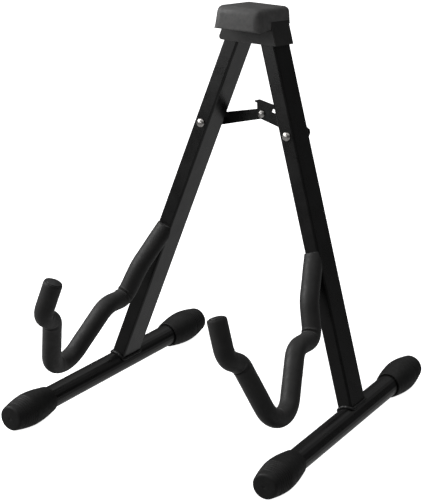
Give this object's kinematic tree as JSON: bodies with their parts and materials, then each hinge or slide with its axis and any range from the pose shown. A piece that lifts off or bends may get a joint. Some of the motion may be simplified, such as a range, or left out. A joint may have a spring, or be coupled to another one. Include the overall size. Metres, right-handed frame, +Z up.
{
  "type": "folding guitar stand",
  "caption": "Folding A-frame floor stand for a guitar: foam-covered cradle arms, tubular legs and feet, a hinged head and a two-bar folding brace.",
  "frame": {"origin": "centre of the stand's footprint, on the floor", "axes": "+X to the stand's right seen from behind the camera side of the picture, that is towards the leg with the head bracket's side plate; -Y to the front, where the cradle arms reach; +Z up"},
  "size_m": [0.3086, 0.3238, 0.3928],
  "materials": {
    "frame_paint": "semi-gloss black powder coat",
    "bracket_paint": "semi-gloss black powder coat",
    "brace_paint": "semi-gloss black powder coat",
    "rod_steel": "satin black",
    "cap_rubber": "matte, finely grooved",
    "pad_rubber": "matte, fine grain",
    "foam": "satin closed-cell foam skin",
    "tip_rubber": "satin",
    "hardware": "bright nickel plate",
    "nylon": "moulded"
  },
  "bodies": {
    "right_half": {"leg_right": "frame_paint", "foot_tube_right": "frame_paint", "foot_cap_right_front": "cap_rubber", "foot_cap_right_rear": "cap_rubber", "weld_foot_right": "frame_paint", "arm_rod_right": "rod_steel", "arm_foam_right": "foam", "arm_tip_right": "tip_rubber", "brace_bolt_right": "hardware", "brace_nut_right": "hardware", "brace_washer_right": "hardware", "brace_spacer_right": "nylon", "head_bracket": "bracket_paint", "head_pad": "pad_rubber", "pivot_bolt": "hardware", "pivot_nut": "hardware", "pivot_washer": "hardware"},
    "left_half": {"leg_left": "frame_paint", "foot_tube_left": "frame_paint", "foot_cap_left_front": "cap_rubber", "foot_cap_left_rear": "cap_rubber", "weld_foot_left": "frame_paint", "arm_rod_left": "rod_steel", "arm_foam_left": "foam", "arm_tip_left": "tip_rubber", "brace_bolt_left": "hardware", "brace_nut_left": "hardware", "brace_washer_left": "hardware", "brace_spacer_left": "nylon", "pivot_bush": "nylon"},
    "brace_right": {"brace_bar_right": "brace_paint", "brace_rivet": "hardware", "brace_middle_washer": "nylon"},
    "brace_left": {"brace_bar_left": "brace_paint", "brace_rivet_tail": "hardware"}
  },
  "joints": [
    {"name": "leg_fold", "type": "hinge", "parent": "right_half", "child": "left_half", "pos_m": [-0.01257, 0.06799, 0.37621], "axis": [0, -0.9936, 0.1132], "range_deg": [0, 35]},
    {"name": "brace_right_swing", "type": "hinge", "parent": "right_half", "child": "brace_right", "pos_m": [0.04725, 0.05611, 0.27201], "axis": [0, -0.9936, 0.1132], "range_deg": [-57.58, 0]},
    {"name": "brace_left_swing", "type": "hinge", "parent": "left_half", "child": "brace_left", "pos_m": [-0.04725, 0.05611, 0.27201], "axis": [0, -0.9936, 0.1132], "range_deg": [0, 26.36]}
  ],
  "couplings": [
    {"joint": "brace_right_swing", "follows": "leg_fold", "ratio": -1.6437},
    {"joint": "brace_left_swing", "follows": "leg_fold", "ratio": 0.7518}
  ]
}
